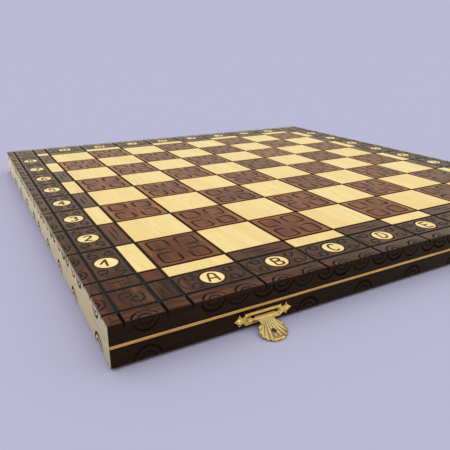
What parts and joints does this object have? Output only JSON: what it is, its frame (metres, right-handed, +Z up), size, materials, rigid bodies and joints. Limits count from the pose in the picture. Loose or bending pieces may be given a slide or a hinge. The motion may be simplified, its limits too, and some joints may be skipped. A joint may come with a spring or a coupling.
{
  "type": "folding board game box",
  "caption": "Wooden board game box in two hinged halves, shown opened flat as a checkered playing board, with shell clasps and a felt-lined hollow for the pieces.",
  "frame": {"origin": "on the fold line, halfway along it, in the plane of the box rims, on the near half's rim", "axes": "+X along the letters A to H, +Y from the edge with the clasps towards the far edge, +Z up through the playing face"},
  "size_m": [0.5206, 0.5532, 0.0296],
  "materials": {
    "stained_rail": "satin varnish over dark stain, with burnt stamps",
    "border_veneer": "satin varnish over dark stain, with burnt scrolls",
    "dark_veneer": "satin varnish over brown stain, with burnt loops",
    "light_veneer": "clear satin varnish",
    "line_wood": "clear satin varnish",
    "plywood": "raw",
    "felt": "felt",
    "polished_brass": "polished",
    "hinge_brass": "satin",
    "pin_steel": "satin"
  },
  "bodies": {
    "near_half": {"near_front_rail": "stained_rail", "near_left_rail": "stained_rail", "near_right_rail": "stained_rail", "near_hinge_rail": "stained_rail", "near_panel": "plywood", "near_felt": "felt", "near_cradle_strips": "plywood", "near_pale_line": "line_wood", "near_light_squares": "light_veneer", "near_dark_squares": "dark_veneer", "near_light_half_squares": "light_veneer", "near_dark_half_squares": "dark_veneer", "near_letter_tiles": "border_veneer", "near_number_tiles": "border_veneer", "near_corner_tiles": "border_veneer", "near_letter_discs": "light_veneer", "near_number_discs": "light_veneer", "left_clasp_plate": "polished_brass", "left_clasp_pin": "polished_brass", "left_clasp_nails": "polished_brass", "left_hinge_near_leaf": "hinge_brass", "left_hinge_near_screws": "hinge_brass", "left_hinge_pin": "pin_steel", "right_clasp_plate": "polished_brass", "right_clasp_pin": "polished_brass", "right_clasp_nails": "polished_brass", "right_hinge_near_leaf": "hinge_brass", "right_hinge_near_screws": "hinge_brass", "right_hinge_pin": "pin_steel"},
    "far_half": {"far_back_rail": "stained_rail", "far_left_rail": "stained_rail", "far_right_rail": "stained_rail", "far_hinge_rail": "stained_rail", "far_panel": "plywood", "far_felt": "felt", "far_cradle_strips": "plywood", "far_pale_line": "line_wood", "far_light_squares": "light_veneer", "far_dark_squares": "dark_veneer", "far_light_half_squares": "light_veneer", "far_dark_half_squares": "dark_veneer", "far_letter_tiles": "border_veneer", "far_number_tiles": "border_veneer", "far_corner_tiles": "border_veneer", "far_letter_discs": "light_veneer", "far_number_discs": "light_veneer", "left_catch_plate": "polished_brass", "left_catch_knob": "polished_brass", "left_catch_nails": "polished_brass", "left_hinge_far_leaf": "hinge_brass", "left_hinge_far_screws": "hinge_brass", "right_catch_plate": "polished_brass", "right_catch_knob": "polished_brass", "right_catch_nails": "polished_brass", "right_hinge_far_leaf": "hinge_brass", "right_hinge_far_screws": "hinge_brass"},
    "left_flap": {"left_clasp_flap": "polished_brass"},
    "right_flap": {"right_clasp_flap": "polished_brass"}
  },
  "joints": [
    {"name": "fold", "type": "hinge", "parent": "near_half", "child": "far_half", "pos_m": [0, 0.00015, -0.00015], "axis": [-1, 0, 0], "range_deg": [0, 180]},
    {"name": "left_flap_swing", "type": "hinge", "parent": "near_half", "child": "left_flap", "pos_m": [-0.158, -0.2657, 0.0066], "axis": [1, 0, 0], "range_deg": [-100, 62]},
    {"name": "right_flap_swing", "type": "hinge", "parent": "near_half", "child": "right_flap", "pos_m": [0.158, -0.2657, 0.0066], "axis": [1, 0, 0], "range_deg": [-100, 62]}
  ]
}
